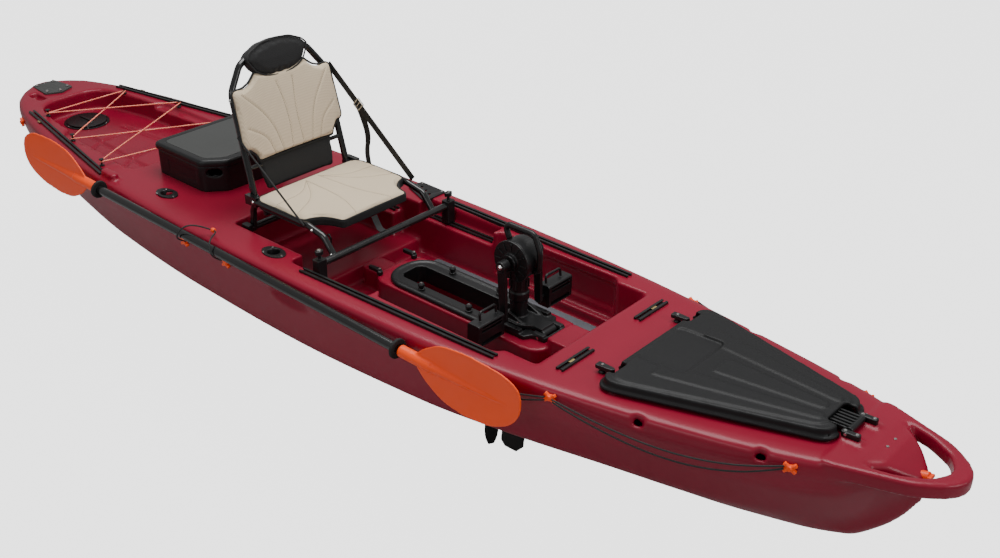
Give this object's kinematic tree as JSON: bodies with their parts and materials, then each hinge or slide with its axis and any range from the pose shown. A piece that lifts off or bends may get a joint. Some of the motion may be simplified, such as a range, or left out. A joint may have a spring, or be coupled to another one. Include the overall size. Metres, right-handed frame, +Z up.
{
  "type": "pedal kayak",
  "caption": "Sit-on-top pedal-drive fishing kayak with framed mesh seat, tilting propeller drive, bow hatch, tankwell, deck box and a stowed paddle.",
  "frame": {"origin": "on the flat of the keel, amidships on the centreline", "axes": "+X to the bow, +Y to port, +Z up"},
  "size_m": [3.96, 0.8574, 1.1315],
  "materials": {
    "hull_red": "satin rotomoulded polyethylene",
    "black_plastic": "fine grain",
    "charcoal_plate": "grained",
    "track_aluminium": "black anodised",
    "black_tube": "gloss powder coat",
    "steel": "bright",
    "orange_plastic": "gloss",
    "black_cord": "braided",
    "orange_cord": "braided",
    "grey_foam": "brushed foam",
    "beige_mesh": "spacer mesh",
    "black_fabric": "woven nylon",
    "rubber_seal": "matt",
    "bronze_gear": "machined"
  },
  "bodies": {
    "boat": {"hull": "hull_red", "bow_hatch_gasket": "rubber_seal", "bow_hatch_hinge": "black_plastic", "bow_hatch_hinge_pin": "steel", "rear_gear_tracks": "track_aluminium", "front_gear_tracks": "track_aluminium", "bow_cross_tracks": "track_aluminium", "seat_rails": "track_aluminium", "track_screws": "steel", "rod_holders": "black_plastic", "accessory_plate": "black_plastic", "stern_plate": "charcoal_plate", "deck_screws": "steel", "access_cover_ring": "black_plastic", "tankwell_hooks": "black_plastic", "tankwell_bungee": "orange_cord", "side_clips": "orange_plastic", "side_bungees": "black_cord", "paddle_keeper_cord": "black_cord", "deck_box": "black_plastic", "floor_mats": "grey_foam", "drive_well_tray": "black_plastic", "tray_bolts": "steel", "drive_mount": "black_plastic", "drive_pivot_pin": "steel", "paddle_shaft": "black_tube", "paddle_blades": "orange_plastic", "paddle_drip_rings": "black_plastic"},
    "bow_hatch": {"bow_hatch_lid": "black_plastic"},
    "latch_port": {"hatch_latch_port": "black_plastic"},
    "latch_starboard": {"hatch_latch_starboard": "black_plastic"},
    "drain_plug": {"bow_drain_plug": "orange_plastic"},
    "access_hatch": {"access_cover": "black_plastic"},
    "box_lid": {"deck_box_lid": "black_plastic", "deck_box_lid_panel": "charcoal_plate"},
    "lever_port": {"tray_lever_port": "black_plastic"},
    "lever_starboard": {"tray_lever_starboard": "black_plastic"},
    "drive": {"drive_column": "black_plastic", "gear_case": "black_plastic", "gear_case_cover": "black_plastic", "gear_case_screws": "steel", "drive_handle": "black_plastic", "lower_unit": "black_plastic"},
    "upright_shaft": {"drive_shaft": "steel"},
    "screw": {"propeller": "black_plastic"},
    "cranks": {"crank_axle": "bronze_gear", "crank_arm_port": "track_aluminium"},
    "starboard_arm": {"crank_arm_starboard": "track_aluminium"},
    "pedal_port": {"pedal_port": "black_plastic"},
    "pedal_starboard": {"pedal_starboard": "black_plastic"},
    "seat": {"seat_frame": "black_tube", "seat_bars": "black_tube", "seat_rail_clamps": "black_plastic", "seat_cushion": "beige_mesh", "seat_front_strap": "black_fabric", "backrest_straps": "black_fabric"},
    "backrest": {"backrest_frame": "black_tube", "backrest_cushion": "beige_mesh", "backrest_lumbar_panel": "black_fabric", "backrest_head_pad": "black_fabric"}
  },
  "joints": [
    {"name": "bow_hatch_hinge", "type": "hinge", "parent": "boat", "child": "bow_hatch", "pos_m": [1.69499, 0, 0.34728], "axis": [0, 1, 0], "range_deg": [0, 100]},
    {"name": "latch_port_turn", "type": "hinge", "parent": "boat", "child": "latch_port", "pos_m": [1.0496, 0.18, 0.31859], "axis": [-0.0351, 0, 0.9994], "range_deg": [0, 90]},
    {"name": "latch_starboard_turn", "type": "hinge", "parent": "boat", "child": "latch_starboard", "pos_m": [1.0496, -0.18, 0.31859], "axis": [-0.0351, 0, 0.9994], "range_deg": [-90, 0]},
    {"name": "drain_plug_turn", "type": "hinge", "parent": "boat", "child": "drain_plug", "pos_m": [1.87704, 0, 0.2847], "axis": [0.9659, 0, 0.2588], "continuous": true},
    {"name": "access_cover_turn", "type": "hinge", "parent": "boat", "child": "access_hatch", "pos_m": [-1.659, 0, 0.235], "axis": [0, 0, 1], "range_deg": [0, 120]},
    {"name": "box_lid_hinge", "type": "hinge", "parent": "boat", "child": "box_lid", "pos_m": [-0.929, 0, 0.39408], "axis": [0, -1, 0], "range_deg": [0, 75]},
    {"name": "lever_port_turn", "type": "hinge", "parent": "boat", "child": "lever_port", "pos_m": [0.093, 0.078, 0.22], "axis": [0, 0, 1], "range_deg": [-60, 0]},
    {"name": "lever_starboard_turn", "type": "hinge", "parent": "boat", "child": "lever_starboard", "pos_m": [0.093, -0.078, 0.22], "axis": [0, 0, 1], "range_deg": [0, 60]},
    {"name": "drive_tilt", "type": "hinge", "parent": "boat", "child": "drive", "pos_m": [0.72, 0, 0.218], "axis": [0, 1, 0], "range_deg": [0, 72]},
    {"name": "crank_spin", "type": "hinge", "parent": "drive", "child": "cranks", "pos_m": [0.606, 0, 0.428], "axis": [0, 1, 0], "continuous": true},
    {"name": "starboard_arm_fold", "type": "hinge", "parent": "cranks", "child": "starboard_arm", "pos_m": [0.606, -0.08, 0.428], "axis": [0, 1, 0], "range_deg": [0, 180]},
    {"name": "upright_shaft_spin", "type": "hinge", "parent": "drive", "child": "upright_shaft", "pos_m": [0.606, 0, 0], "axis": [0, 0, 1], "continuous": true},
    {"name": "propeller_spin", "type": "hinge", "parent": "drive", "child": "screw", "pos_m": [0.507, 0, -0.168], "axis": [1, 0, 0], "continuous": true},
    {"name": "pedal_port_spin", "type": "hinge", "parent": "cranks", "child": "pedal_port", "pos_m": [0.61697, 0.15, 0.25835], "axis": [0, 1, 0], "continuous": true},
    {"name": "pedal_starboard_spin", "type": "hinge", "parent": "starboard_arm", "child": "pedal_starboard", "pos_m": [0.61697, -0.15, 0.25835], "axis": [0, 1, 0], "continuous": true},
    {"name": "seat_slide", "type": "slide", "parent": "boat", "child": "seat", "axis": [-1, 0, 0], "range_m": [-0.12, 0.03]},
    {"name": "backrest_fold", "type": "hinge", "parent": "seat", "child": "backrest", "pos_m": [-0.354, 0, 0.384], "axis": [0, 1, 0], "range_deg": [-8, 65], "deforming": ["backrest_straps"]}
  ],
  "couplings": [
    {"joint": "upright_shaft_spin", "follows": "crank_spin", "ratio": 4},
    {"joint": "propeller_spin", "follows": "crank_spin", "ratio": 8}
  ]
}
